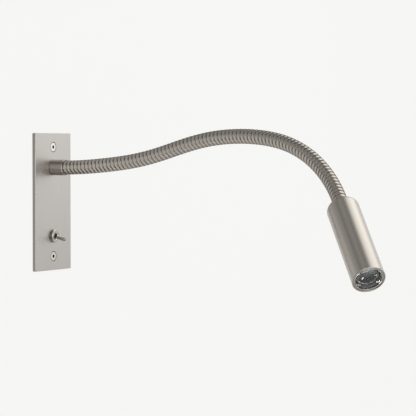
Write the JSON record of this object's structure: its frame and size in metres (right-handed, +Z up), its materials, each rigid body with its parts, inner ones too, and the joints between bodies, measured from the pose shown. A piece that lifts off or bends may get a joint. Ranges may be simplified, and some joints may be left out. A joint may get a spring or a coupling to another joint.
{
  "type": "flexible wall reading light",
  "caption": "Wall reading light: flat plate with toggle switch over a recessed box, ribbed flexible neck and a slim cylindrical lamp head with a domed lens.",
  "frame": {"origin": "middle of the plate's back, in the wall's plane", "axes": "+Y into the wall, -Y into the room, +Z up, +X to the right as seen from the room"},
  "size_m": [0.1281, 0.3809, 0.1199],
  "materials": {
    "plate_nickel": "satin brushed nickel, fine horizontal grain",
    "screw_steel": "bright steel",
    "box_zinc": "zinc-plated sheet steel",
    "grommet_rubber": "matt",
    "foam_pad": "foam tape",
    "driver_plastic": "fine matt",
    "terminal_plastic": "moulded nylon",
    "brass_screws": "turned brass",
    "tinned_tags": "tinned",
    "switch_chrome": "plated and threaded",
    "switch_plastic": "moulded phenolic",
    "zinc_hardware": "zinc plated",
    "dress_nickel": "knurled nickel",
    "lever_nickel": "satin nickel",
    "collar_nickel": "satin nickel, turned",
    "brass_hardware": "turned brass",
    "lead_black": "sheathed lead",
    "wire_brown": "wire sleeve",
    "wire_black": "wire sleeve",
    "wire_blue": "wire sleeve",
    "wire_green": "green and yellow wire sleeve",
    "wire_white": "wire sleeve",
    "neck_steel": "satin nickel over wound steel",
    "head_nickel": "satin nickel over turned aluminium",
    "sink_aluminium": "machined",
    "thermal_grey": "soft pad",
    "board_white": "white solder mask on metal core",
    "led_phosphor": "yellow phosphor dome",
    "reflector_bright": "vacuum-plated cone",
    "lens_clear": "polished clear",
    "ring_chrome": "polished ring"
  },
  "bodies": {
    "wall_base": {"wall_plate": "plate_nickel", "plate_screws": "screw_steel", "back_box": "box_zinc", "box_grommet": "grommet_rubber", "driver_pad": "foam_pad", "driver_case": "driver_plastic", "terminal_block": "terminal_plastic", "terminal_screws": "brass_screws", "earth_tag": "tinned_tags", "earth_screw": "brass_screws", "switch_bushing": "switch_chrome", "switch_case": "switch_plastic", "switch_tags": "tinned_tags", "switch_washer": "zinc_hardware", "switch_inner_nut": "zinc_hardware", "switch_dress_nut": "dress_nickel", "lever_pin": "screw_steel", "neck_collar": "collar_nickel", "collar_washer": "zinc_hardware", "collar_nut": "brass_hardware", "neck_section_00": "neck_steel", "neck_lead": "lead_black", "wire_live": "wire_brown", "wire_switched": "wire_black", "wire_neutral": "wire_blue", "wire_earth": "wire_green"},
    "toggle": {"switch_lever": "lever_nickel"},
    "neck_01": {"neck_section_01": "neck_steel"},
    "neck_02": {"neck_section_02": "neck_steel"},
    "neck_03": {"neck_section_03": "neck_steel"},
    "neck_04": {"neck_section_04": "neck_steel"},
    "neck_05": {"neck_section_05": "neck_steel"},
    "neck_06": {"neck_section_06": "neck_steel"},
    "neck_07": {"neck_section_07": "neck_steel"},
    "neck_08": {"neck_section_08": "neck_steel"},
    "neck_09": {"neck_section_09": "neck_steel"},
    "neck_10": {"neck_section_10": "neck_steel"},
    "neck_11": {"neck_section_11": "neck_steel"},
    "head": {"neck_section_12": "neck_steel", "head_shell": "head_nickel", "tip_bush": "brass_hardware", "head_nut": "brass_hardware", "heat_sink": "sink_aluminium", "thermal_pad": "thermal_grey", "led_board": "board_white", "board_screws": "screw_steel", "led_emitter": "led_phosphor", "reflector": "reflector_bright", "lens": "lens_clear", "front_ring": "ring_chrome", "led_wires": "wire_white"}
  },
  "joints": [
    {"name": "neck_lift_01", "type": "hinge", "parent": "wall_base", "child": "neck_01", "pos_m": [0, -0.02843, 0.02927], "axis": [-1, -0.0002, 0], "range_deg": [-20, 20], "deforming": ["neck_lead"]},
    {"name": "neck_swing_02", "type": "hinge", "parent": "neck_01", "child": "neck_02", "pos_m": [0, -0.05382, 0.03108], "axis": [0.0001, 0.0934, 0.9956], "range_deg": [-20, 20], "deforming": ["neck_lead"]},
    {"name": "neck_lift_03", "type": "hinge", "parent": "neck_02", "child": "neck_03", "pos_m": [-0.00002, -0.0791, 0.03412], "axis": [-1, 0.0001, 0], "range_deg": [-20, 20], "deforming": ["neck_lead"]},
    {"name": "neck_swing_04", "type": "hinge", "parent": "neck_03", "child": "neck_04", "pos_m": [0.00002, -0.10399, 0.03942], "axis": [-0.0007, 0.2633, 0.9647], "range_deg": [-20, 20], "deforming": ["neck_lead"]},
    {"name": "neck_lift_05", "type": "hinge", "parent": "neck_04", "child": "neck_05", "pos_m": [-0.00009, -0.12842, 0.04659], "axis": [-0.9999, 0.0158, 0], "range_deg": [-20, 20], "deforming": ["neck_lead"]},
    {"name": "neck_swing_06", "type": "hinge", "parent": "neck_05", "child": "neck_06", "pos_m": [-0.00099, -0.15319, 0.05234], "axis": [0.0095, 0.1586, 0.9873], "range_deg": [-20, 20], "deforming": ["neck_lead"]},
    {"name": "neck_lift_07", "type": "hinge", "parent": "neck_06", "child": "neck_07", "pos_m": [-0.00317, -0.17843, 0.05464], "axis": [-0.9936, 0.113, 0], "range_deg": [-20, 20], "deforming": ["neck_lead"]},
    {"name": "neck_swing_08", "type": "hinge", "parent": "neck_07", "child": "neck_08", "pos_m": [-0.00679, -0.20359, 0.05369], "axis": [-0.0175, -0.0999, 0.9948], "range_deg": [-20, 20], "deforming": ["neck_lead"]},
    {"name": "neck_lift_09", "type": "hinge", "parent": "neck_08", "child": "neck_09", "pos_m": [-0.01192, -0.22806, 0.04906], "axis": [-0.9706, 0.2406, 0], "range_deg": [-20, 20], "deforming": ["neck_lead"]},
    {"name": "neck_swing_10", "type": "hinge", "parent": "neck_09", "child": "neck_10", "pos_m": [-0.01857, -0.25061, 0.03944], "axis": [-0.1605, -0.4503, 0.8783], "range_deg": [-20, 20], "deforming": ["neck_lead"]},
    {"name": "neck_lift_11", "type": "hinge", "parent": "neck_10", "child": "neck_11", "pos_m": [-0.02737, -0.26996, 0.02552], "axis": [-0.8628, 0.5056, 0], "range_deg": [-20, 20], "deforming": ["neck_lead"]},
    {"name": "neck_swing_12", "type": "hinge", "parent": "neck_11", "child": "head", "pos_m": [-0.03947, -0.28574, 0.00968], "axis": [-0.4442, -0.4572, 0.7705], "range_deg": [-20, 20], "deforming": ["neck_lead"]},
    {"name": "toggle_lever", "type": "hinge", "parent": "wall_base", "child": "toggle", "pos_m": [0, -0.0012, -0.029], "axis": [-1, 0, 0], "range_deg": [0, 25]}
  ]
}
